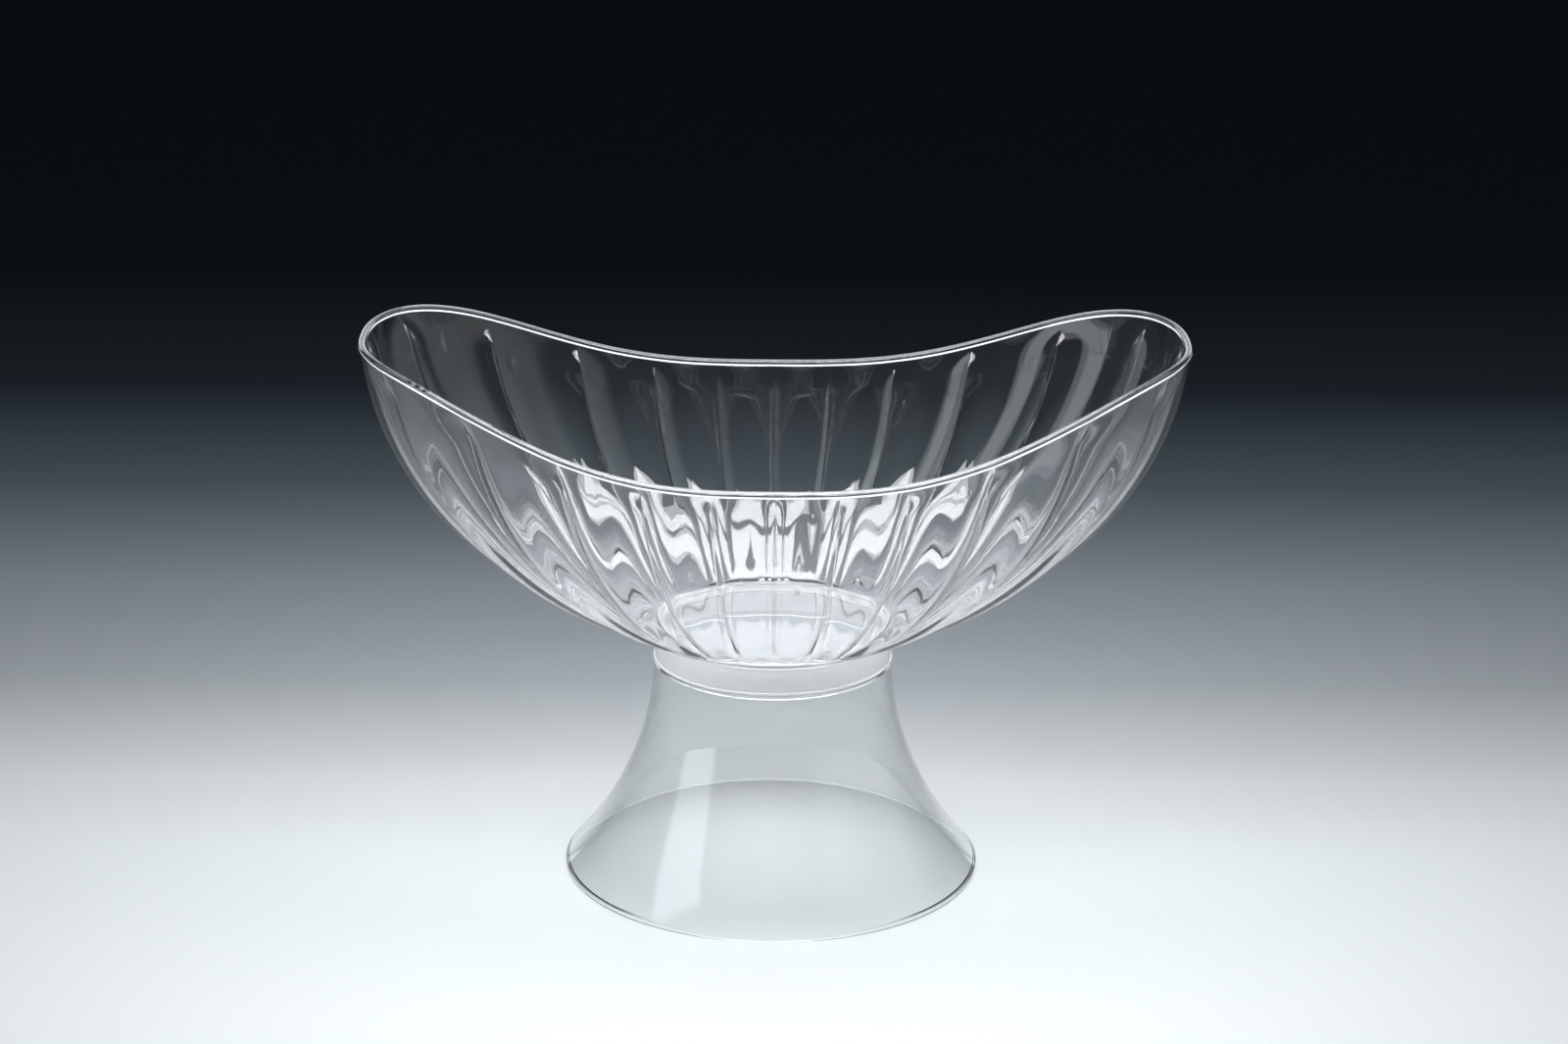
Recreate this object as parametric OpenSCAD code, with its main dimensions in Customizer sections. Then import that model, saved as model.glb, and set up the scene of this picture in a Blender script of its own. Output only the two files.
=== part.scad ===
// Oval display bowl with a fluted, saddle-rimmed shell that stands on a hollow flared pedestal.
// Two clear mouldings: the bowl lifts straight up off the pedestal's spigot.
// Frame: millimetres, +Z up, +X along the bowl's length, origin at the centre of the standing face.

/* [Pedestal] */
// Outer diameter of the flare where it stands
base_d = 208; // [180:1:240]
// Height of the shoulder that carries the bowl's foot ring
shoulder_h = 110; // [90:1:150]
// Wall of the pedestal, measured square to its surface
pedestal_wall = 2.4; // [1.6:0.1:3.4]
// Height of the upright hem at the foot of the flare
hem_h = 2; // [1:0.5:5]
// Width of the ring on which the pedestal stands
hem_w = 2.8; // [2:0.1:4]
// Height of the spigot above the shoulder
spigot_h = 11; // [7:0.5:12.5]
// Wall of the spigot
spigot_wall = 2.3; // [1.5:0.1:3]

/* [Bowl] */
// Length over the rim
bowl_l = 404; // [340:1:440]
// Width over the rim
bowl_w = 226; // [190:1:260]
// Height from the foot ring's lower edge to the top of the rim, at the middle of the long sides
side_h = 121; // [100:1:145]
// The same height at the two ends
end_h = 165; // [125:1:190]
// Wall of the bowl, measured square to its surface
bowl_wall = 2.6; // [2:0.1:3.4]
// Thickness of the rounded bead along the rim
bead_d = 3.8; // [3.6:0.1:6]
// Number of flutes round the bowl
flutes = 24; // [16:2:30]

/* [Foot ring] */
// Outer diameter of the ring at its lower lip
ring_d = 119.4; // [105:0.2:135]
// Height of the ring below the wall, at the middle of the long sides
ring_side_h = 16.4; // [14:0.2:20]
// The same height at the two ends, where the wall flares lower down
ring_end_h = 12; // [11.5:0.2:14]
// Wall of the ring at its lower end
ring_wall = 2.4; // [2:0.1:3.5]
// How much wider the ring is at its top, each side
ring_draft = 0.6; // [0.2:0.1:2]
// Height of the rounded lip along the ring's lower edge
lip_h = 1.8; // [1:0.1:3]
// Height of the bowl's flat floor above the ring's lower edge
floor_h = 17.2; // [16.5:0.1:20]
// Thickness of the floor
floor_t = 3; // [2:0.1:4]

/* [Locating keys] */
// Radius of the half-round key on the spigot
key_r = 10; // [7:0.5:10.5]
// How far a key stands out from the spigot
key_t = 0.9; // [0.5:0.1:1.2]

/* [Fits] */
// Gap between the spigot and the foot ring, all round
fit_gap = 0.3; // [0.2:0.05:0.5]
// How far the neck's edge lies inside the foot ring's lip
neck_reveal = 0.4; // [0.1:0.1:1]

/* [Hidden] */

// Places of the curve handles of the flare, as shares of its height and of its spread
neck_handle_share = 0.38;
foot_handle_shares = [0.53, 0.23];
// Handles of the wall's curve from foot to rim, as shares of its run and its rise: at the ends, at the sides
end_handle_shares = [[0.47, 0.14], [0.94, 0.46]];
side_handle_shares = [[0.38, 0.14], [0.88, 0.42]];
// Power of the rim's outline, where 2 is an ellipse, and of the sweep of its height along the bowl
rim_power = 2.4;
sweep_power = 1.45;
// Depth of the creases between flutes outside, and of the ridges there inside, as shares of a flute's width
crease_share = 0.09;
ridge_share = 0.08;
// Powers by which a crease and a ridge fall away to the middle of a flute, where more is narrower
crease_power = 2;
ridge_power = 3;
// Part of the wall's run over which the creases die out, at the foot and at the rim
foot_fade_share = 0.15;
rim_fade_share = 0.03;

// Steps of the curves
flare_steps = 16;
flute_steps = 5;
wall_steps = 12;
bead_steps = 8;
round_fn = 96;
// Small step for the slopes of the shell, in degrees round it and in shares of its run
turn_step = 0.5;
run_step_share = 0.005;

// How far the shell's foot stands out from the ring and reaches down over it
foot_step = 0.15;
foot_skirt = 0.6;
// How far the ring's top is let into the shell's foot
ring_root = 1.5;
// How deep a key is rooted in the shoulder below it
key_root = 0.5;
// How far cuts run past the faces that they open
overrun = 1;

ring_r = ring_d / 2;
ring_bore_r = ring_r - ring_wall;
ring_top_r = ring_r + ring_draft;
foot_side_z = shoulder_h + ring_side_h;
foot_end_z = shoulder_h + ring_end_h;
foot_base_z = foot_end_z - foot_skirt;
floor_z = shoulder_h + floor_h;

base_r = base_d / 2;
neck_r = ring_r - neck_reveal;
spigot_r = ring_bore_r - fit_gap;
spigot_bore_r = spigot_r - spigot_wall;
spigot_top_z = shoulder_h + spigot_h;
neck_bore_r = neck_r - pedestal_wall;
key_turns = [-90, 90];

bead_r = bead_d / 2;
rim_a = bowl_l / 2 - bead_r + bowl_wall / 2;
rim_b = bowl_w / 2 - bead_r + bowl_wall / 2;
rim_side_z = shoulder_h + side_h - bead_r;
rim_end_z = shoulder_h + end_h - bead_r;
foot_r = ring_top_r + foot_step;
flute_turn = 360 / flutes;
turns = flutes * flute_steps;
// Angle below the level at which the bead runs into the wall
bead_dip = acos(bowl_wall / bead_d);

// Cubic curve through four handles, for numbers or points
function curve(p0, p1, p2, p3, t) =
    pow(1 - t, 3) * p0 + 3 * pow(1 - t, 2) * t * p1 + 3 * (1 - t) * pow(t, 2) * p2 + pow(t, 3) * p3;
function unit(v) = v / norm(v);
function mix(a, b, t) = a + (b - a) * t;
// Smooth step from 0 to 1
function ease(t) = let (c = min(1, max(0, t))) c * c * (3 - 2 * c);

// Flare of the pedestal from the shoulder down to the hem, as radius and height
flare_top = [neck_r, shoulder_h];
flare_foot = [base_r, hem_h];
flare_neck_handle = flare_top - [0, neck_handle_share * shoulder_h];
flare_foot_handle = flare_foot
    - [foot_handle_shares.x * (base_r - neck_r), -foot_handle_shares.y * shoulder_h];
function flare(t) = curve(flare_top, flare_neck_handle, flare_foot_handle, flare_foot, t);
// The same flare on the inside of the wall
function flare_inside(t) =
    let (s = unit(flare(t + run_step_share) - flare(t - run_step_share)))
    flare(t) + pedestal_wall * [s.y, -s.x];

// Reach and height of the rim in the direction a
function rim_reach(a) =
    pow(pow(abs(cos(a)) / rim_a, rim_power) + pow(abs(sin(a)) / rim_b, rim_power), -1 / rim_power);
function rim_z(a) =
    let (u = min(1, rim_reach(a) * abs(cos(a)) / rim_a))
    mix(rim_side_z, rim_end_z, pow(sin(90 * pow(u, sweep_power)), 2));

// Smooth outer sheet of the shell, at the share v of the way from the foot to the rim
function sheet(a, v) =
    let (
        handles = mix(side_handle_shares, end_handle_shares, pow(cos(a), 2)),
        way = curve([0, 0], handles[0], handles[1], [1, 1], v),
        foot_z = mix(foot_side_z, foot_end_z, pow(cos(a), 2)),
        r = mix(foot_r, rim_reach(a), way.x)
    )
    [r * cos(a), r * sin(a), mix(foot_z, rim_z(a), way.y)];
function along(a, v) = sheet(a + turn_step, v) - sheet(a - turn_step, v);
function up(a, v) = sheet(a, v + run_step_share) - sheet(a, v - run_step_share);
function outward(a, v) = unit(cross(along(a, v), up(a, v)));

// Depth of the flutes' surface below the sheet: full at a crease, none at the middle of a flute
function flute_w(a, v) = norm(along(a, v)) / (2 * turn_step) * flute_turn;
function place_in_flute(a) = a / flute_turn - floor(a / flute_turn);
function crease_depth(a, v, power) =
    flute_w(a, v) * pow(abs(2 * place_in_flute(a) - 1), power)
    * ease(v / foot_fade_share) * ease((1 - v) / rim_fade_share);
function outer_point(a, v) = sheet(a, v) - outward(a, v) * crease_share * crease_depth(a, v, crease_power);
// The inside starts at the level of the floor and follows at the wall's thickness
function inner_point(a, v) =
    let (p = sheet(a, v) - outward(a, v) * (bowl_wall + ridge_share * crease_depth(a, v, ridge_power)))
    [p.x, p.y, v == 0 ? floor_z : max(p.z, floor_z)];
function bead_point(a, s) =
    let (
        out = outward(a, 1),
        rise = unit(cross(out, along(a, 1))),
        turn = mix(-bead_dip, 180 + bead_dip, s)
    )
    sheet(a, 1) - out * bowl_wall / 2 + bead_r * (out * cos(turn) + rise * sin(turn));

// One section through the wall: up the outside from the foot, over the bead and down to the floor
function wall_share(i) = (1 - cos(180 * i / wall_steps)) / 2;
function section(a) = concat(
    [[foot_r * cos(a), foot_r * sin(a), foot_base_z]],
    [for (i = [0 : wall_steps - 1]) outer_point(a, wall_share(i))],
    [for (i = [0 : bead_steps]) bead_point(a, i / bead_steps)],
    [for (i = [wall_steps - 1 : -1 : 0]) inner_point(a, wall_share(i))]
);

// Shell with its floor, closed below by a flat base
module shell() {
    section_size = 2 * wall_steps + bead_steps + 2;
    points = [for (k = [0 : turns - 1]) each section(k * 360 / turns)];
    function at(k, i) = (k % turns) * section_size + i;
    sides = [
        for (k = [0 : turns - 1], i = [0 : section_size - 2])
            each [
                [at(k, i), at(k + 1, i + 1), at(k + 1, i)],
                [at(k, i), at(k, i + 1), at(k + 1, i + 1)]
            ]
    ];
    base = [for (k = [0 : turns - 1]) at(k, 0)];
    floor_face = [for (k = [turns - 1 : -1 : 0]) at(k, section_size - 1)];
    polyhedron(points = points, faces = concat(sides, [base, floor_face]), convexity = 6);
}

// Half-round key, standing on the shoulder and reaching out to the radius out_r
module key(r, out_r, drop) {
    intersection() {
        rotate([90, 0, 90])
            translate([0, 0, spigot_bore_r])
                linear_extrude(out_r)
                    translate([0, shoulder_h])
                        union() {
                            circle(r, $fn = round_fn);
                            translate([-r, -drop])
                                square([2 * r, drop]);
                        }
        translate([0, 0, shoulder_h - drop])
            cylinder(h = r + 2 * drop, r = out_r, $fn = round_fn);
    }
}

// The ring as a solid plug that reaches up into the shell's foot, before it is bored
module foot_plug() {
    lip_r = lip_h / 2;
    rotate_extrude($fn = round_fn)
        union() {
            polygon([
                [0, shoulder_h],
                [ring_r - lip_r, shoulder_h],
                [ring_r - lip_r / 2, shoulder_h + lip_h],
                [ring_top_r, foot_base_z],
                [ring_top_r, foot_base_z + ring_root],
                [0, foot_base_z + ring_root]
            ]);
            translate([ring_r - lip_r, shoulder_h + lip_r])
                circle(lip_r, $fn = round_fn / 4);
        }
}

module ring_bore() {
    translate([0, 0, shoulder_h - overrun])
        cylinder(h = floor_h - floor_t + overrun, r = ring_bore_r, $fn = round_fn);
    for (turn = key_turns)
        rotate([0, 0, turn])
            key(key_r + fit_gap, spigot_r + key_t + fit_gap, overrun);
}

module pedestal() {
    outside = [for (i = [0 : flare_steps]) flare(i / flare_steps)];
    inside = [
        for (i = [flare_steps : -1 : 0])
            let (p = flare_inside(i / flare_steps))
            if (p.x < base_r - hem_w && p.y < shoulder_h - 2 * pedestal_wall) p
    ];
    color([0.80, 0.85, 0.88, 0.55])
        union() {
            rotate_extrude($fn = round_fn)
                polygon(concat(
                    [[spigot_bore_r, spigot_top_z], [spigot_r, spigot_top_z], [spigot_r, shoulder_h]],
                    outside,
                    [[base_r, 0], [base_r - hem_w, 0]],
                    inside,
                    [[neck_bore_r, shoulder_h - 2 * pedestal_wall], [spigot_bore_r, shoulder_h - pedestal_wall]]
                ));
            for (turn = key_turns)
                rotate([0, 0, turn])
                    difference() {
                        key(key_r, spigot_r + key_t, key_root);
                        cylinder(h = spigot_top_z + overrun, r = spigot_r - spigot_wall / 2, $fn = round_fn);
                    }
        }
}

module bowl() {
    color([0.86, 0.90, 0.93, 0.45])
        difference() {
            union() {
                shell();
                foot_plug();
            }
            ring_bore();
        }
}

pedestal();
bowl();
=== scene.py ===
"""Looks of a clear oval display bowl that stands on a hollow flared pedestal.

Each piece is a mesh of revolution that is spun from its section, then drawn out to its true shape.
Sizes are in metres, +Z up, +X along the bowl's length, with the origin at the centre of the
standing face.
"""

import math
from functools import partial

import bmesh
import bpy
from bpy.props import FloatProperty, FloatVectorProperty, IntProperty, PointerProperty
from mathutils import Matrix, Vector


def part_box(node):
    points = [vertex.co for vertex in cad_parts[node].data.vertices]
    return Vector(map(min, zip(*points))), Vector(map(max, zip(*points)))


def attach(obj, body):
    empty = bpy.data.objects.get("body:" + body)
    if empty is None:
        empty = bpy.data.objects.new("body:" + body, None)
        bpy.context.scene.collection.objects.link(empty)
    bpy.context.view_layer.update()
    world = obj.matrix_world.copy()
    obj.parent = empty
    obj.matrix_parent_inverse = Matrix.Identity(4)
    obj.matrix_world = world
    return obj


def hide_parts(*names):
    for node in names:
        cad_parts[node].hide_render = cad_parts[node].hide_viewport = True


bl_info = {
    "name": "Oval display bowl on a pedestal",
    "version": (1, 0, 0),
    "blender": (4, 5, 0),
    "location": "View3D > Sidebar > Display bowl",
    "description": "Adds a fluted clear bowl, its flared pedestal and a plain studio",
    "category": "Add Mesh",
}

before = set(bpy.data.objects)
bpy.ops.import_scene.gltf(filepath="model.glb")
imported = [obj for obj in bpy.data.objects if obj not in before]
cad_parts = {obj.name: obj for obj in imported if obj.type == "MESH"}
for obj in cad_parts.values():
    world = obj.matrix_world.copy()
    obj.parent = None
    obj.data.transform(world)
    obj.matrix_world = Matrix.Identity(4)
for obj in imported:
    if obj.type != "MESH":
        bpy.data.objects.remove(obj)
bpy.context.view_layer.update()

MM = 0.001
BOWL_LOW, BOWL_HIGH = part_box("bowl")
PEDESTAL_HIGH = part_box("pedestal")[1]
SHOULDER_Z = BOWL_LOW.z

# Places this near to each other, or to the Z axis, count as the same.
SAME_PLACE = 1e-6
ON_AXIS = 1e-7

# A corner between two faces stays crisp where they meet at more than this.
SHARP_TURN = math.radians(28)


# Curves and small helpers

def mix(a, b, share):
    """The value at a share of the way from a to b."""
    return a + (b - a) * share


def ease(share):
    """Smooth step from 0 to 1."""
    share = min(1.0, max(0.0, share))
    return share * share * (3 - 2 * share)


def bezier(p0, p1, p2, p3, share):
    """Cubic curve through four handles, for numbers or vectors."""
    rest = 1 - share
    return rest**3 * p0 + 3 * rest**2 * share * p1 + 3 * rest * share**2 * p2 + share**3 * p3


def corner(p0, p1, p2, share):
    """Quadratic curve that rounds the corner p1 between p0 and p2."""
    rest = 1 - share
    return rest**2 * p0 + 2 * rest * share * p1 + share**2 * p2


def steps(count):
    """Shares from 0 to 1 in equal steps."""
    return [i / count for i in range(count + 1)]


def close_steps(count):
    """Shares from 0 to 1 that crowd towards both ends."""
    return [(1 - math.cos(math.pi * i / count)) / 2 for i in range(count + 1)]


def rounded(distance, radius):
    """The size of a distance, with its kink at 0 rounded over about the radius."""
    return math.sqrt(distance * distance + radius * radius) - (math.sqrt(1 + radius * radius) - 1)


def linear(text):
    """Linear colour of an sRGB hex value."""
    parts = [int(text[i:i + 2], 16) / 255 for i in (1, 3, 5)]
    return [c / 12.92 if c <= 0.04045 else ((c + 0.055) / 1.055) ** 2.4 for c in parts] + [1.0]


# Sizes and colours that a user would change

def length(name, description, default):
    return FloatProperty(
        name=name, description=description, default=default, min=0.0, unit="LENGTH", precision=5)


def colour(name, description, text):
    return FloatVectorProperty(
        name=name, description=description, subtype="COLOR", size=4, min=0.0, max=1.0,
        default=linear(text))


def portion(name, description, default, top=1.0):
    return FloatProperty(name=name, description=description, default=default, min=0.0, max=top)


class PedestalSizes(bpy.types.PropertyGroup):
    """Sizes of the flared pedestal."""

    base_radius: length("Base radius", "Outer radius where it stands", PEDESTAL_HIGH.x)
    wall: length("Wall", "Wall, measured square to its surface", 2.4 * MM)
    hem_height: length("Hem height", "Upright hem at the foot of the flare", 2.0 * MM)
    hem_width: length("Hem width", "Width of the ring it stands on", 2.8 * MM)
    spigot_wall: length("Spigot wall", "Wall of the spigot", 2.3 * MM)
    key_radius: length("Key radius", "Radius of the half-round key on the spigot", 10.0 * MM)
    key_depth: length("Key depth", "How far a key stands out from the spigot", 0.9 * MM)
    rounding: length("Rounding", "Radius of its moulded edges", 0.5 * MM)
    neck_rounding: length("Neck rounding", "Radius of the edge under the foot ring", 0.15 * MM)
    tint: colour("Tint", "Colour of the pedestal's plastic", "#FBFCFC")
    haze: portion("Haze", "Share of the light that the plastic scatters", 0.02)


class BowlSizes(bpy.types.PropertyGroup):
    """Sizes of the fluted bowl."""

    wall: length("Wall", "Wall, measured square to its surface", 2.6 * MM)
    bead: length("Bead", "Thickness of the rounded bead along the rim", 3.8 * MM)
    side_height: length("Side height", "From the ring's lower edge to the rim, at the sides", 121.0 * MM)
    flutes: IntProperty(
        name="Flutes", description="Number of flutes round the bowl", default=24, min=8, max=48)
    crease_depth: portion(
        "Crease depth", "Depth of a crease outside as a share of a flute's width", 0.09, 0.2)
    ridge_depth: portion(
        "Ridge depth", "Height of a ridge inside as a share of a flute's width", 0.10, 0.2)
    crease_rounding: length("Crease rounding", "Radius at the bottom of a crease", 0.2 * MM)
    ridge_rounding: length("Ridge rounding", "Radius along the top of a ridge inside", 0.35 * MM)
    ring_radius: length("Ring radius", "Outer radius of the foot ring at its lip", 59.7 * MM)
    ring_wall: length("Ring wall", "Wall of the foot ring", 2.4 * MM)
    ring_draft: length("Ring draft", "How much wider the ring is at its top", 0.6 * MM)
    lip: length("Lip", "Height of the rounded lip along the ring's lower edge", 1.8 * MM)
    ring_side_height: length("Ring side height", "Ring below the wall, at the sides", 16.4 * MM)
    ring_end_height: length("Ring end height", "Ring below the wall, at the ends", 12.0 * MM)
    floor_height: length("Floor height", "Floor above the ring's lower edge", 17.2 * MM)
    floor_wall: length("Floor wall", "Thickness of the floor", 3.0 * MM)
    tint: colour("Tint", "Colour of the bowl's plastic", "#FDFDFE")
    haze: portion("Haze", "Share of the light that the plastic scatters", 0.003)
    ring_haze: portion("Ring haze", "Share of the light that the satin foot ring scatters", 0.4)


class Fits(bpy.types.PropertyGroup):
    """Clearances between the two mouldings."""

    gap: length("Gap", "Gap between spigot and foot ring, all round", 0.3 * MM)
    reveal: length("Reveal", "How far the neck's edge lies inside the ring's lip", 0.4 * MM)
    seat: length("Seat", "Air left between faces that rest on each other", 0.05 * MM)


class Studio(bpy.types.PropertyGroup):
    """Floor and light of the studio."""

    near_tone: colour("Near tone", "Colour of the paper around the object", "#D5D9DB")
    # The far colour is painted shade: the paper darkened where the light falls off behind the object.
    far_painted_shade: colour("Far tone", "Colour of the paper far behind the object", "#171A1C")
    light: FloatProperty(
        name="Light", description="Strength of all the lamps together", default=1.0, min=0.0)


class Settings(bpy.types.PropertyGroup):
    """All sizes and colours of the display bowl and its studio."""

    pedestal: PointerProperty(type=PedestalSizes)
    bowl: PointerProperty(type=BowlSizes)
    fits: PointerProperty(type=Fits)
    studio: PointerProperty(type=Studio)


def fit_radii(settings):
    """Outer radii of the neck and of the spigot, and the radius of the spigot's bore."""
    bowl = settings.bowl
    neck = bowl.ring_radius - settings.fits.reveal
    spigot = bowl.ring_radius - bowl.ring_wall - settings.fits.gap
    return neck, spigot, spigot - settings.pedestal.spigot_wall


# Mesh work that both mouldings share

def chain(mesh, points, closed):
    """Adds a chain of vertices and edges through points of radius and height."""
    verts = [mesh.verts.new((r, 0, z)) for r, z in points]
    for first, second in zip(verts, verts[1:]):
        mesh.edges.new((first, second))
    if closed:
        mesh.edges.new((verts[-1], verts[0]))
    return verts


def spin_section(mesh, turns):
    """Spins a chain of vertices once round Z and closes the seam and the poles."""
    bmesh.ops.spin(
        mesh, geom=mesh.verts[:] + mesh.edges[:], cent=(0, 0, 0), axis=(0, 0, 1), angle=math.tau,
        steps=turns, use_merge=True, use_normal_flip=False, use_duplicate=False)
    poles = [v for v in mesh.verts if math.hypot(v.co.x, v.co.y) < ON_AXIS]
    bmesh.ops.remove_doubles(mesh, verts=poles, dist=ON_AXIS)
    bmesh.ops.recalc_face_normals(mesh, faces=mesh.faces[:])


def make_piece(name, mesh):
    """Makes an object of a bmesh, smooth all over."""
    for face in mesh.faces:
        face.smooth = True
    data = bpy.data.meshes.new(name)
    mesh.to_mesh(data)
    mesh.free()
    piece = bpy.data.objects.new(name, data)
    bpy.context.scene.collection.objects.link(piece)
    return piece


KEY_ARC_STEPS = 48


def half_round_key(radius, inner, outer, low):
    """A half disc on the shoulder that reaches from one radius out to another, along +X."""
    mesh = bmesh.new()
    verts = [mesh.verts.new((inner, -radius, low)), mesh.verts.new((inner, radius, low))]
    for share in steps(KEY_ARC_STEPS):
        turn = math.pi * share
        place = (inner, radius * math.cos(turn), SHOULDER_Z + radius * math.sin(turn))
        verts.append(mesh.verts.new(place))
    face = mesh.faces.new(verts)
    pushed = bmesh.ops.extrude_face_region(mesh, geom=[face])
    moved = [g for g in pushed["geom"] if isinstance(g, bmesh.types.BMVert)]
    for vert in moved:
        vert.co.x = math.sqrt(max(outer**2 - vert.co.y**2, 0.0))
    bmesh.ops.recalc_face_normals(mesh, faces=mesh.faces[:])
    return mesh


def join_keys(piece, key, operation):
    """Adds two keys to a piece, or cuts them out of it, at the front and the back."""
    for turn in (-math.pi / 2, math.pi / 2):
        mesh = half_round_key(*key)
        bmesh.ops.rotate(
            mesh, verts=mesh.verts[:], cent=(0, 0, 0), matrix=Matrix.Rotation(turn, 3, "Z"))
        tool = make_piece("key_tool", mesh)
        cut = piece.modifiers.new("key", "BOOLEAN")
        cut.operation = operation
        cut.solver = "EXACT"
        cut.object = tool
        graph = bpy.context.evaluated_depsgraph_get()
        data = bpy.data.meshes.new_from_object(piece.evaluated_get(graph))
        piece.modifiers.clear()
        old = piece.data
        piece.data = data
        bpy.data.meshes.remove(old)
        tool_data = tool.data
        bpy.data.objects.remove(tool)
        bpy.data.meshes.remove(tool_data)


def finish_moulding(piece):
    """Keeps moulded corners crisp and drops the empty material slots that the cuts leave."""
    piece.data.set_sharp_from_angle(angle=SHARP_TURN)
    piece.data.materials.clear()


# Pedestal

# Handles of the flare's curve, as shares of its height and of its spread.
NECK_HANDLE_SHARE = 0.38
FOOT_HANDLE_SHARES = (0.53, 0.23)

FLARE_STEPS = 64
PEDESTAL_TURNS = 288
EDGE_SEGMENTS = 4

# Share of a curve's run over which its slope is measured.
SLOPE_STEP = 0.005

# How deep the root of a key reaches into the shoulder.
KEY_ROOT = 0.5 * MM


def flare_points(sizes, neck_radius, inset):
    """The flare from the shoulder down to the hem, as radius and height, inset by a wall."""
    top = Vector((neck_radius, SHOULDER_Z))
    foot = Vector((sizes.base_radius, sizes.hem_height))
    neck_handle = top - Vector((0, NECK_HANDLE_SHARE * SHOULDER_Z))
    spread = sizes.base_radius - neck_radius
    foot_handle = foot + Vector((-FOOT_HANDLE_SHARES[0] * spread, FOOT_HANDLE_SHARES[1] * SHOULDER_Z))
    points = []
    for share in steps(FLARE_STEPS):
        here = bezier(top, neck_handle, foot_handle, foot, share)
        before = bezier(top, neck_handle, foot_handle, foot, share - SLOPE_STEP)
        after = bezier(top, neck_handle, foot_handle, foot, share + SLOPE_STEP)
        slope = (after - before).normalized()
        points.append(here + inset * Vector((slope.y, -slope.x)))
    return points


def runs_round(edge, corners):
    """Whether an edge runs round Z at one of the section's corners."""
    a, b = (v.co for v in edge.verts)
    if abs(a.z - b.z) > SAME_PLACE:
        return False
    return any(
        abs(a.z - z) < SAME_PLACE
        and abs(math.hypot(a.x, a.y) - r) < SAME_PLACE
        and abs(math.hypot(b.x, b.y) - r) < SAME_PLACE
        for r, z in corners)


def round_rings(mesh, radius, corners):
    """Rounds the edges that run round Z at the given corners of the section."""
    chosen = [edge for edge in mesh.edges if runs_round(edge, corners)]
    bmesh.ops.bevel(
        mesh, geom=chosen, offset=radius, offset_type="OFFSET", segments=EDGE_SEGMENTS,
        profile=0.5, affect="EDGES", material=-1)


def make_pedestal(settings):
    """The hollow flare with its shoulder, its spigot and the two keys."""
    sizes = settings.pedestal
    neck_r, spigot_r, bore_r = fit_radii(settings)
    hem_r = sizes.base_radius - sizes.hem_width
    spigot_top = PEDESTAL_HIGH.z
    ceiling_z = SHOULDER_Z - sizes.wall
    inside_low = SHOULDER_Z - 2 * sizes.wall
    outside = flare_points(sizes, neck_r, 0)
    inside = [p for p in flare_points(sizes, neck_r, sizes.wall) if p.x < hem_r and p.y < inside_low]
    points = [(bore_r, spigot_top), (spigot_r, spigot_top), (spigot_r, SHOULDER_Z)]
    points += [tuple(p) for p in outside]
    points += [(sizes.base_radius, 0), (hem_r, 0)]
    points += [tuple(p) for p in reversed(inside)]
    points += [(neck_r - sizes.wall, ceiling_z), (bore_r, ceiling_z)]
    mesh = bmesh.new()
    chain(mesh, points, closed=True)
    spin_section(mesh, PEDESTAL_TURNS)
    round_rings(mesh, sizes.rounding, [
        (bore_r, spigot_top), (spigot_r, spigot_top), (sizes.base_radius, 0), (hem_r, 0)])
    round_rings(mesh, sizes.neck_rounding, [(neck_r, SHOULDER_Z)])
    piece = make_piece("clear_pedestal", mesh)
    key_inner = spigot_r - sizes.spigot_wall / 2
    key_outer = spigot_r + sizes.key_depth
    join_keys(piece, (sizes.key_radius, key_inner, key_outer, SHOULDER_Z - KEY_ROOT), "UNION")
    finish_moulding(piece)
    return piece


# Bowl's wall

# Handles of the wall's curve from the foot to the rim: shares of its run and of its rise.
END_HANDLE_SHARES = ((0.47, 0.14), (0.94, 0.46))
SIDE_HANDLE_SHARES = ((0.38, 0.14), (0.88, 0.42))

# The rim is a superellipse from above, and its sweep starts slowly from the sides.
RIM_POWER = 2.4
SWEEP_POWER = 1.45

# A higher power makes a crease or a ridge narrower.
CREASE_POWER = 2
RIDGE_POWER = 3

# Shares of the wall's run over which the flutes fade out.
FOOT_FADE_SHARE = 0.15
RIM_FADE_SHARE = 0.08

# How much the leaning wall lifts the bead's middle at the ends.
RIM_TILT = 0.13 * MM

# The wall's foot stands this far outside the ring's top.
FOOT_STEP = 0.15 * MM

# The inside runs into the floor with this round, over the first share of the wall's run.
FLOOR_ROUND = 0.7 * MM
FLOOR_BLEND_SHARE = 0.02

# Turn over which a slope round the bowl is measured.
TURN_STEP = math.radians(0.5)


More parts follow.
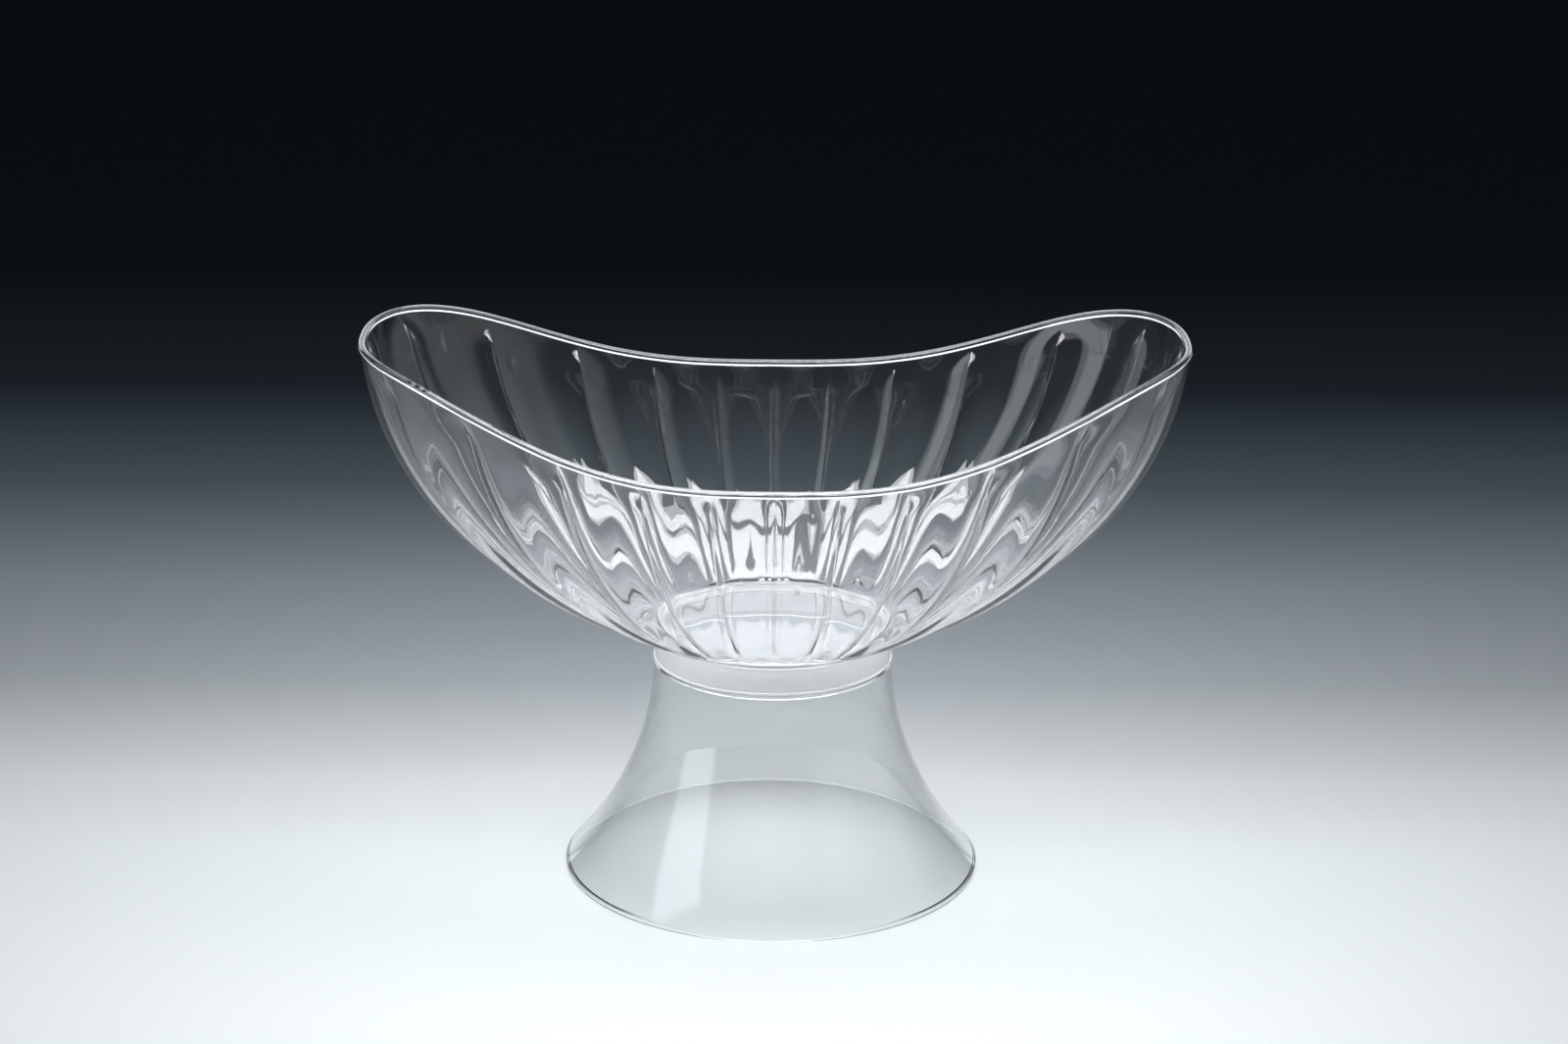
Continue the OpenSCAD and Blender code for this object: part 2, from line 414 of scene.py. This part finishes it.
class Shell:
    """The bowl's wall as a surface: angles run round it, shares run from the foot up to the rim."""

    def __init__(self, sizes):
        self.sizes = sizes
        self.bead_radius = sizes.bead / 2
        margin = self.bead_radius - sizes.wall / 2
        self.rim_a = (BOWL_HIGH.x - BOWL_LOW.x) / 2 - margin
        self.rim_b = (BOWL_HIGH.y - BOWL_LOW.y) / 2 - margin
        self.rim_side_z = SHOULDER_Z + sizes.side_height - self.bead_radius
        self.rim_end_z = BOWL_HIGH.z - self.bead_radius - RIM_TILT
        self.foot_radius = sizes.ring_radius + sizes.ring_draft + FOOT_STEP
        self.foot_side_z = SHOULDER_Z + sizes.ring_side_height
        self.foot_end_z = SHOULDER_Z + sizes.ring_end_height
        self.floor_z = SHOULDER_Z + sizes.floor_height
        self.flute_turn = math.tau / sizes.flutes

    def rim_reach(self, a):
        """Distance of the rim from Z."""
        x = (abs(math.cos(a)) / self.rim_a) ** RIM_POWER
        y = (abs(math.sin(a)) / self.rim_b) ** RIM_POWER
        return (x + y) ** (-1 / RIM_POWER)

    def rim_z(self, a):
        """Height of the rim, which sweeps up from the sides to the ends."""
        along = min(1.0, self.rim_reach(a) * abs(math.cos(a)) / self.rim_a)
        return mix(self.rim_side_z, self.rim_end_z, math.sin(math.pi / 2 * along**SWEEP_POWER) ** 2)

    def foot_z(self, a):
        """Height at which the wall leaves the foot ring."""
        return mix(self.foot_side_z, self.foot_end_z, math.cos(a) ** 2)

    def sheet(self, a, v):
        """Smooth outer sheet, without the flutes."""
        endwise = math.cos(a) ** 2
        side, end = SIDE_HANDLE_SHARES, END_HANDLE_SHARES
        run = bezier(0, mix(side[0][0], end[0][0], endwise), mix(side[1][0], end[1][0], endwise), 1, v)
        rise = bezier(0, mix(side[0][1], end[0][1], endwise), mix(side[1][1], end[1][1], endwise), 1, v)
        r = mix(self.foot_radius, self.rim_reach(a), run)
        return Vector((r * math.cos(a), r * math.sin(a), mix(self.foot_z(a), self.rim_z(a), rise)))

    def outward(self, a, v):
        """Outward direction of the sheet and the width of a flute there."""
        along = self.sheet(a + TURN_STEP, v) - self.sheet(a - TURN_STEP, v)
        up = self.sheet(a, v + SLOPE_STEP) - self.sheet(a, v - SLOPE_STEP)
        return along.cross(up).normalized(), along.length / (2 * TURN_STEP) * self.flute_turn

    def flute_depth(self, a, v, width, rounding, power):
        """Depth of the flutes below the sheet: full between two flutes, none at mid flute."""
        place = (a / self.flute_turn) % 1.0
        from_crease = 1 - abs(2 * place - 1)
        bow = max(0.0, 1 - rounded(from_crease, 2 * rounding / width))
        return width * bow**power * ease(v / FOOT_FADE_SHARE) * ease((1 - v) / RIM_FADE_SHARE)

    def outer(self, a, v):
        """The outside, with its creases."""
        out, width = self.outward(a, v)
        crease = self.flute_depth(a, v, width, self.sizes.crease_rounding, CREASE_POWER)
        return self.sheet(a, v) - out * self.sizes.crease_depth * crease

    def inner(self, a, v):
        """The inside follows at the wall's thickness and runs into the floor with a small round."""
        out, width = self.outward(a, v)
        ridge = self.flute_depth(a, v, width, self.sizes.ridge_rounding, RIDGE_POWER)
        p = self.sheet(a, v) - out * (self.sizes.wall + self.sizes.ridge_depth * ridge)
        above = (p.z - self.floor_z) * ease(v / FLOOR_BLEND_SHARE)
        blend = FLOOR_ROUND * ease(v / FLOOR_BLEND_SHARE)
        p.z = self.floor_z + (above + math.sqrt(above * above + blend * blend)) / 2
        return p

    def bead(self, a, share):
        """The bead runs over the rim from the outside to the inside."""
        along = (self.sheet(a + TURN_STEP, 1) - self.sheet(a - TURN_STEP, 1)).normalized()
        out, _ = self.outward(a, 1)
        rise = out.cross(along).normalized()
        dip = math.acos(self.sizes.wall / self.sizes.bead)
        turn = mix(-dip, math.pi + dip, share)
        centre = self.sheet(a, 1) - out * self.sizes.wall / 2
        return centre + self.bead_radius * (out * math.cos(turn) + rise * math.sin(turn))


# Stations of the bowl's section: each is a function from the angle round Z to a place

# The floor's underside turns into the ring's bore with this round.
CEILING_ROUND = 0.8 * MM
CEILING_SHARES = (0.35, 0.7, 0.9, 0.97)
CEILING_ROUND_STEPS = 5

# The bore's lower edge: its round, and how far above the ring's face the bore's last station is.
BORE_ROUND = 0.3 * MM
BORE_END = 0.4 * MM
BORE_SHARES = (0.25, 0.5, 0.75, 1.0)
BORE_ROUND_STEPS = 3

# The ring's lip is rounded up to this turn, and the ring's side starts just above it.
LIP_TURN = math.radians(62)
LIP_RISE = 0.25 * MM
LIP_STEPS = 12

# The ring's side ends this far below the lowest place of the wall's foot.
SIDE_END = 0.6 * MM
SIDE_SHARES = (0.0, 0.12, 0.3, 0.5, 0.7, 0.85, 1.0)

# The round between the ring's side and the wall: its height on the ring and its share of the wall.
FOOT_ROUND = 0.8 * MM
FOOT_ROUND_SHARE = 0.012
FOOT_ROUND_STEPS = 5

# The wall's stations start just past that round.
WALL_START_SHARE = 1.3 * FOOT_ROUND_SHARE
WALL_STEPS = 52
BEAD_STEPS = 14

FLOOR_SHARES = (0.985, 0.96, 0.9, 0.7, 0.4)


def still(r, z, a):
    """A place that keeps its radius and height all the way round."""
    return Vector((r * math.cos(a), r * math.sin(a), z))


def still_round(before, at, after, shares):
    """Stations that round a corner of the section, all the way round at the same height."""
    points = [corner(before, at, after, share) for share in shares]
    return [partial(still, p.x, p.y) for p in points]


def foot_round(shell, share, a):
    """The round between the ring's side and the wall, which rises and falls with the wall's foot."""
    middle = shell.outer(a, 0)
    below = middle - Vector((0, 0, FOOT_ROUND))
    return corner(below, middle, shell.outer(a, FOOT_ROUND_SHARE), share)


def floor_ring(shell, share, a):
    """The bowl's floor at a share of its reach."""
    edge = shell.inner(a, 0)
    return Vector((edge.x * share, edge.y * share, shell.floor_z))


def ring_stations(sizes, fits, shell):
    """Out under the floor, down the ring's bore, round its lip and up its side."""
    ring_r = sizes.ring_radius
    bore_r = ring_r - sizes.ring_wall
    top_r = ring_r + sizes.ring_draft
    top_z = shell.foot_end_z - SIDE_END
    lip_r = sizes.lip / 2
    low = SHOULDER_Z + fits.seat
    ceiling_z = shell.floor_z - sizes.floor_wall
    at_ceiling = Vector((bore_r, ceiling_z))
    at_face = Vector((bore_r, low))
    stations = [partial(still, 0, ceiling_z)]
    stations += [partial(still, bore_r * s, ceiling_z) for s in CEILING_SHARES]
    stations += still_round(
        at_ceiling - Vector((CEILING_ROUND, 0)), at_ceiling,
        at_ceiling - Vector((0, CEILING_ROUND)), steps(CEILING_ROUND_STEPS))
    for share in BORE_SHARES:
        stations.append(partial(still, bore_r, mix(ceiling_z - CEILING_ROUND, low + BORE_END, share)))
    stations += still_round(
        at_face + Vector((0, BORE_ROUND)), at_face,
        at_face + Vector((BORE_ROUND, 0)), steps(BORE_ROUND_STEPS)[1:])
    for share in steps(LIP_STEPS):
        turn = mix(-math.pi / 2, LIP_TURN, share)
        r = ring_r - lip_r + lip_r * math.cos(turn)
        stations.append(partial(still, r, low + lip_r + lip_r * math.sin(turn)))
    side_r = ring_r - lip_r / 2
    side_z = low + sizes.lip + LIP_RISE
    for share in SIDE_SHARES:
        stations.append(partial(still, mix(side_r, top_r, share), mix(side_z, top_z, share)))
    return stations


def wall_stations(shell):
    """Round the wall's foot, up its outside, over the bead and down its inside."""
    heights = [v for v in close_steps(WALL_STEPS) if v < 1]
    stations = [partial(foot_round, shell, share) for share in steps(FOOT_ROUND_STEPS)]
    stations += [partial(shell.outer, v=v) for v in heights if v > WALL_START_SHARE]
    stations += [partial(shell.bead, share=share) for share in steps(BEAD_STEPS)]
    stations += [partial(shell.inner, v=v) for v in reversed(heights)]
    return stations


def floor_stations(shell):
    """In along the bowl's floor to its middle."""
    rings = [partial(floor_ring, shell, share) for share in FLOOR_SHARES]
    return rings + [partial(still, 0, shell.floor_z)]


# Bowl

# Mesh steps in a flute, and how strongly they crowd towards the creases.
FLUTE_STEPS = 20
CROWDING = 0.9

# How far the cutter of a notch reaches below the shoulder.
NOTCH_DEPTH = 1.0 * MM

# The middle of a flat face of the bore lies this little inside the bore's radius, or less.
BORE_SLACK = 0.1 * MM


def spin_stations(mesh, stations, reach, turns):
    """Spins a barrel with one ring for each station, and marks each vertex with its station."""
    station_layer = mesh.verts.layers.int.new("station")
    last = len(stations) - 1
    points = [(reach * math.sin(math.pi * i / last), i * MM) for i in range(last)]
    points.append((0.0, last * MM))
    for index, vert in enumerate(chain(mesh, points, closed=False)):
        vert[station_layer] = index
    spin_section(mesh, turns)
    return station_layer


def make_bowl(settings):
    """The fluted shell with its bead, floor and foot ring, and the notches for the keys."""
    sizes = settings.bowl
    fits = settings.fits
    shell = Shell(sizes)
    stations = ring_stations(sizes, fits, shell) + wall_stations(shell) + floor_stations(shell)
    turns = sizes.flutes * FLUTE_STEPS
    mesh = bmesh.new()
    station_layer = spin_stations(mesh, stations, shell.rim_b, turns)
    for vert in mesh.verts:
        turn = math.atan2(vert.co.y, vert.co.x) if vert.co.xy.length > ON_AXIS else 0.0
        flute, place = divmod(round(turn / math.tau * turns), FLUTE_STEPS)
        share = place / FLUTE_STEPS
        share -= CROWDING * math.sin(math.tau * share) / math.tau
        vert.co = stations[vert[station_layer]]((flute + share) * shell.flute_turn)
    bmesh.ops.recalc_face_normals(mesh, faces=mesh.faces[:])
    piece = make_piece("clear_bowl", mesh)
    _, spigot_r, bore_r = fit_radii(settings)
    notch_radius = settings.pedestal.key_radius + fits.gap
    notch_outer = spigot_r + settings.pedestal.key_depth + fits.gap
    join_keys(piece, (notch_radius, bore_r, notch_outer, SHOULDER_Z - NOTCH_DEPTH), "DIFFERENCE")
    finish_moulding(piece)
    mark_ring(piece, shell)
    return piece


def mark_ring(piece, shell):
    """Gives the faces of the foot ring the second material."""
    inner_r = shell.sizes.ring_radius - shell.sizes.ring_wall - BORE_SLACK
    for face in piece.data.polygons:
        turn = math.atan2(face.center.y, face.center.x)
        on_ring = math.hypot(face.center.x, face.center.y) > inner_r
        face.material_index = int(on_ring and face.center.z < shell.foot_z(turn))


# Materials

# Styrene-acrylonitrile bends light more than acrylic does, so its reflections are stronger.
STYRENE_IOR = 1.57

# A polished mould gives sharp reflections, and a blasted one a soft satin skin.
POLISHED_ROUGHNESS = 0.005
SATIN_ROUGHNESS = 0.2

# A moulding's skin is never quite even: slow waves that bend its reflections a little.
WAVE_SIZE = 22 * MM
WAVE_DEPTH = 0.007 * MM
WAVE_DETAIL = 1.0
WAVE_SHARPNESS = 0.4

# The plastic lets most of the lamps' light through to the paper.
SHADOW_TINT = "#C6C8C9"

# Places along Y where the paper's colours start and end, and its colours by shares of the way.
# It is matt and pale around the object; its darkening with the distance behind it is painted shade, in
# place of the light falling off.
PAPER_START = -0.1
PAPER_END = 1.3
PAPER_NEAR_SHARE = 0.04
PAPER_FAR_SHARE = 0.93
# These tones are painted shade, darker with the distance behind the object, where the light falls off.
PAPER_PAINTED_SHADE_TONES = (
    (0.08, "#D5D9DB"),
    (0.145, "#CFD1D3"),
    (0.25, "#A4A9AD"),
    (0.37, "#8D9399"),
    (0.51, "#59646A"),
    (0.675, "#282F35"),
)
PAPER_ROUGHNESS = 0.9


def add_node(tree, kind, inputs=None, **settings):
    """Adds a node, sets its own settings, and sets or links its inputs."""
    node = tree.nodes.new(kind)
    for name, value in settings.items():
        setattr(node, name, value)
    for socket, value in (inputs or {}).items():
        if isinstance(value, bpy.types.NodeSocket):
            tree.links.new(value, node.inputs[socket])
        else:
            node.inputs[socket].default_value = value
    return node


def new_material(name):
    material = bpy.data.materials.new(name)
    material.use_nodes = True
    material.node_tree.nodes.clear()
    return material, material.node_tree


def moulded_plastic(name, tint, haze, roughness):
    """Moulded styrene-acrylonitrile: it bends and mirrors what is round it, with faint flow waves."""
    material, tree = new_material(name)
    place = add_node(tree, "ShaderNodeTexCoord")
    waves = add_node(tree, "ShaderNodeTexNoise", {
        "Vector": place.outputs["Object"], "Scale": 1 / WAVE_SIZE, "Detail": WAVE_DETAIL,
        "Roughness": WAVE_SHARPNESS})
    skin = add_node(tree, "ShaderNodeBump", {
        "Height": waves.outputs["Fac"], "Strength": 1.0, "Distance": WAVE_DEPTH})
    body = add_node(tree, "ShaderNodeBsdfPrincipled", {
        "Base Color": tint, "Roughness": roughness, "IOR": STYRENE_IOR,
        "Transmission Weight": 1.0 - haze, "Normal": skin.outputs["Normal"]})
    passing = add_node(tree, "ShaderNodeBsdfTransparent", {"Color": linear(SHADOW_TINT)})
    ray = add_node(tree, "ShaderNodeLightPath")
    both = add_node(tree, "ShaderNodeMixShader", {
        0: ray.outputs["Is Shadow Ray"], 1: body.outputs[0], 2: passing.outputs[0]})
    add_node(tree, "ShaderNodeOutputMaterial", {"Surface": both.outputs[0]})
    return material


def pedestal_plastic(sizes):
    """Clear plastic with a trace of grey and haze, which the eye sees as a veil over the paper."""
    return moulded_plastic(
        "clear_moulded_styrene_pedestal", sizes.tint, sizes.haze, POLISHED_ROUGHNESS)


def bowl_plastic(sizes):
    """Clear plastic almost without haze, so that the flutes sparkle and the back shows through."""
    return moulded_plastic("clear_moulded_styrene_bowl", sizes.tint, sizes.haze, POLISHED_ROUGHNESS)


def ring_plastic(sizes):
    """The same plastic from a blasted part of the mould: milky white, with a soft sheen."""
    return moulded_plastic("satin_moulded_styrene_ring", sizes.tint, sizes.ring_haze, SATIN_ROUGHNESS)


def paper_with_painted_falloff(studio):
    """Matt studio paper, pale near the object, with painted shade that darkens it to nearly black behind
    it in place of the light's fall-off.
    """
    material, tree = new_material("studio_paper_painted_falloff")
    place = add_node(tree, "ShaderNodeTexCoord")
    reach = add_node(tree, "ShaderNodeSeparateXYZ", {0: place.outputs["Object"]})
    share = add_node(tree, "ShaderNodeMapRange", {
        "Value": reach.outputs["Y"], "From Min": PAPER_START, "From Max": PAPER_END})
    # This ramp paints shade into the paper's colour: pale near the object, nearly black far behind it.
    ramp = add_node(tree, "ShaderNodeValToRGB", {"Fac": share.outputs[0]})
    elements = ramp.color_ramp.elements
    elements[0].position = PAPER_NEAR_SHARE
    elements[0].color = studio.near_tone
    elements[1].position = PAPER_FAR_SHARE
    elements[1].color = studio.far_painted_shade
    for position, tone in PAPER_PAINTED_SHADE_TONES:
        elements.new(position).color = linear(tone)
    body = add_node(tree, "ShaderNodeBsdfPrincipled", {
        "Base Color": ramp.outputs["Color"], "Roughness": PAPER_ROUGHNESS, "Specular IOR Level": 0.0})
    add_node(tree, "ShaderNodeOutputMaterial", {"Surface": body.outputs[0]})
    return material


# Stage

FLOOR_REACH = 8.0
FLOOR_SEGMENTS = 8
FLOOR_DROP = 0.1 * MM

# Light panels all round the studio: name, azimuth and elevation of the middle, half the width,
# half the height and the soft edge, all in degrees, and strength.
PANELS = (
    ("dome", 0, 90, 200, 54, 3, 0.08),
    ("left", -67, 16, 18, 32, 6, 1.7),
    ("right", 75, 15, 45, 38, 20, 0.42),
    ("rear", 180, 20, 34, 20, 6, 1.0),
    ("rear low", 180, 4, 34, 11, 3, 1.3),
    ("rear middle", 180, 21, 24, 7, 3, 0.55),
    ("rear high", 180, 60, 70, 24, 8, 0.7),
)
AIR = 0.06
AIR_TINT = "#EEF4F8"

# Soft lamps above the object, facing down: name, place along Y and depth along Y.
LAMPS = (
    ("front_overhead", -0.3, 0.167),
    ("overhead", -0.063, 0.209),
)
LAMP_HEIGHT = 0.6
LAMP_WIDTH = 0.52
LAMP_RADIANCE = 8.0

# The camera's lens and sensor in millimetres, and its place and turn, fitted to the photo.
CAMERA_LENS = 85
SENSOR_WIDTH = 36
CAMERA_PLACE = Vector((4.95 * MM, -1734.95 * MM, 757.85 * MM))
CAMERA_YAW = -0.0094
CAMERA_PITCH = 0.3217
CAMERA_ROLL = 0.0096


def panel_mask(tree, azimuth, elevation, turn, rise, half_width, half_height, edge):
    """1 in the directions of a panel, falling to 0 over its soft edge."""
    side = add_node(
        tree, "ShaderNodeMath", {0: azimuth, 1: math.radians(turn)}, operation="SUBTRACT")
    wrapped = add_node(
        tree, "ShaderNodeMath", {0: side.outputs[0], 1: math.pi, 2: -math.pi}, operation="WRAP")
    above = add_node(
        tree, "ShaderNodeMath", {0: elevation, 1: math.radians(rise)}, operation="SUBTRACT")
    masks = []
    for offset, half in ((wrapped, half_width), (above, half_height)):
        size = add_node(tree, "ShaderNodeMath", {0: offset.outputs[0]}, operation="ABSOLUTE")
        mask = add_node(tree, "ShaderNodeMapRange", {
            "Value": size.outputs[0], "From Min": math.radians(half),
            "From Max": math.radians(half - edge)}, interpolation_type="SMOOTHSTEP")
        masks.append(mask.outputs[0])
    both = add_node(tree, "ShaderNodeMath", {0: masks[0], 1: masks[1]}, operation="MULTIPLY")
    return both.outputs[0]


def studio_light(tree, light):
    """Strength of the studio's light by direction: azimuth 0 is the front, 90 the right."""
    place = add_node(tree, "ShaderNodeTexCoord")
    way = add_node(tree, "ShaderNodeSeparateXYZ", {0: place.outputs["Generated"]})
    front = add_node(tree, "ShaderNodeMath", {0: way.outputs["Y"], 1: -1.0}, operation="MULTIPLY")
    azimuth = add_node(
        tree, "ShaderNodeMath", {0: way.outputs["X"], 1: front.outputs[0]}, operation="ARCTAN2")
    elevation = add_node(tree, "ShaderNodeMath", {0: way.outputs["Z"]}, operation="ARCSINE")
    total = AIR * light
    for name, *shape, strength in PANELS:
        mask = panel_mask(tree, azimuth.outputs[0], elevation.outputs[0], *shape)
        lit = add_node(
            tree, "ShaderNodeMath", {0: mask, 1: strength * light, 2: total},
            operation="MULTIPLY_ADD", label=name)
        total = lit.outputs[0]
    return total


def make_floor(studio):
    """A wide sheet of paper just under the object."""
    mesh = bmesh.new()
    bmesh.ops.create_grid(
        mesh, x_segments=FLOOR_SEGMENTS, y_segments=FLOOR_SEGMENTS, size=FLOOR_REACH)
    bmesh.ops.translate(mesh, verts=mesh.verts[:], vec=(0, 0, -FLOOR_DROP))
    floor = make_piece("studio_floor", mesh)
    floor.data.materials.append(paper_with_painted_falloff(studio))


def make_world(studio):
    """The light panels and the faint light of the air between them."""
    world = bpy.data.worlds.new("studio")
    world.use_nodes = True
    tree = world.node_tree
    tree.nodes.clear()
    strength = studio_light(tree, studio.light)
    air = add_node(tree, "ShaderNodeBackground", {"Color": linear(AIR_TINT), "Strength": strength})
    add_node(tree, "ShaderNodeOutputWorld", {"Surface": air.outputs[0]})
    bpy.context.scene.world = world


def add_softbox(name, along, depth, radiance):
    """A soft lamp that hangs above the object and faces straight down."""
    lamp = bpy.data.lights.new(name, "AREA")
    lamp.shape = "RECTANGLE"
    lamp.size = LAMP_WIDTH
    lamp.size_y = depth
    lamp.energy = radiance * LAMP_WIDTH * depth * math.pi
    holder = bpy.data.objects.new(name, lamp)
    bpy.context.scene.collection.objects.link(holder)
    holder.location = (0, along, LAMP_HEIGHT)


def add_camera():
    """The camera in front of the object, looking a little down."""
    data = bpy.data.cameras.new("camera")
    data.lens = CAMERA_LENS
    data.sensor_width = SENSOR_WIDTH
    camera = bpy.data.objects.new("camera", data)
    bpy.context.scene.collection.objects.link(camera)
    yaw = Matrix.Rotation(CAMERA_YAW, 4, "Z")
    pitch = Matrix.Rotation(math.pi / 2 - CAMERA_PITCH, 4, "X")
    roll = Matrix.Rotation(CAMERA_ROLL, 4, "Z")
    camera.matrix_world = Matrix.Translation(yaw @ CAMERA_PLACE) @ (yaw @ pitch @ roll)
    bpy.context.scene.camera = camera


def make_stage(studio):
    make_floor(studio)
    make_world(studio)
    for name, along, depth in LAMPS:
        add_softbox(name, along, depth, LAMP_RADIANCE * studio.light)
    add_camera()
    bpy.context.scene.view_settings.view_transform = "Standard"


# Operators, panel and registration

class DISPLAYBOWL_OT_pedestal(bpy.types.Operator):
    """Add the clear flared pedestal"""

    bl_idname = "displaybowl.pedestal"
    bl_label = "Pedestal"

    def execute(self, context):
        settings = context.scene.display_bowl
        piece = make_pedestal(settings)
        piece.data.materials.append(pedestal_plastic(settings.pedestal))
        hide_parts("pedestal")
        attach(piece, "pedestal")
        return {"FINISHED"}


class DISPLAYBOWL_OT_bowl(bpy.types.Operator):
    """Add the clear fluted bowl"""

    bl_idname = "displaybowl.bowl"
    bl_label = "Bowl"

    def execute(self, context):
        settings = context.scene.display_bowl
        piece = make_bowl(settings)
        piece.data.materials.append(bowl_plastic(settings.bowl))
        piece.data.materials.append(ring_plastic(settings.bowl))
        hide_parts("bowl")
        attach(piece, "bowl")
        return {"FINISHED"}


class DISPLAYBOWL_OT_stage(bpy.types.Operator):
    """Add the floor, the soft lamps and the camera"""

    bl_idname = "displaybowl.stage"
    bl_label = "Stage"

    def execute(self, context):
        make_stage(context.scene.display_bowl.studio)
        return {"FINISHED"}


class VIEW3D_PT_display_bowl(bpy.types.Panel):
    """Sidebar panel that lists the pieces"""

    bl_label = "Display bowl"
    bl_idname = "VIEW3D_PT_display_bowl"
    bl_space_type = "VIEW_3D"
    bl_region_type = "UI"
    bl_category = "Display bowl"

    def draw(self, context):
        for operator in (DISPLAYBOWL_OT_pedestal, DISPLAYBOWL_OT_bowl, DISPLAYBOWL_OT_stage):
            self.layout.operator(operator.bl_idname)


CLASSES = (
    PedestalSizes, BowlSizes, Fits, Studio, Settings,
    DISPLAYBOWL_OT_pedestal, DISPLAYBOWL_OT_bowl, DISPLAYBOWL_OT_stage, VIEW3D_PT_display_bowl,
)


def register():
    for cls in CLASSES:
        bpy.utils.register_class(cls)
    bpy.types.Scene.display_bowl = PointerProperty(type=Settings)


def unregister():
    del bpy.types.Scene.display_bowl
    for cls in reversed(CLASSES):
        bpy.utils.unregister_class(cls)


def main():
    register()
    bpy.ops.displaybowl.stage()
    bpy.ops.displaybowl.pedestal()
    bpy.ops.displaybowl.bowl()


if __name__ == "__main__":
    main()
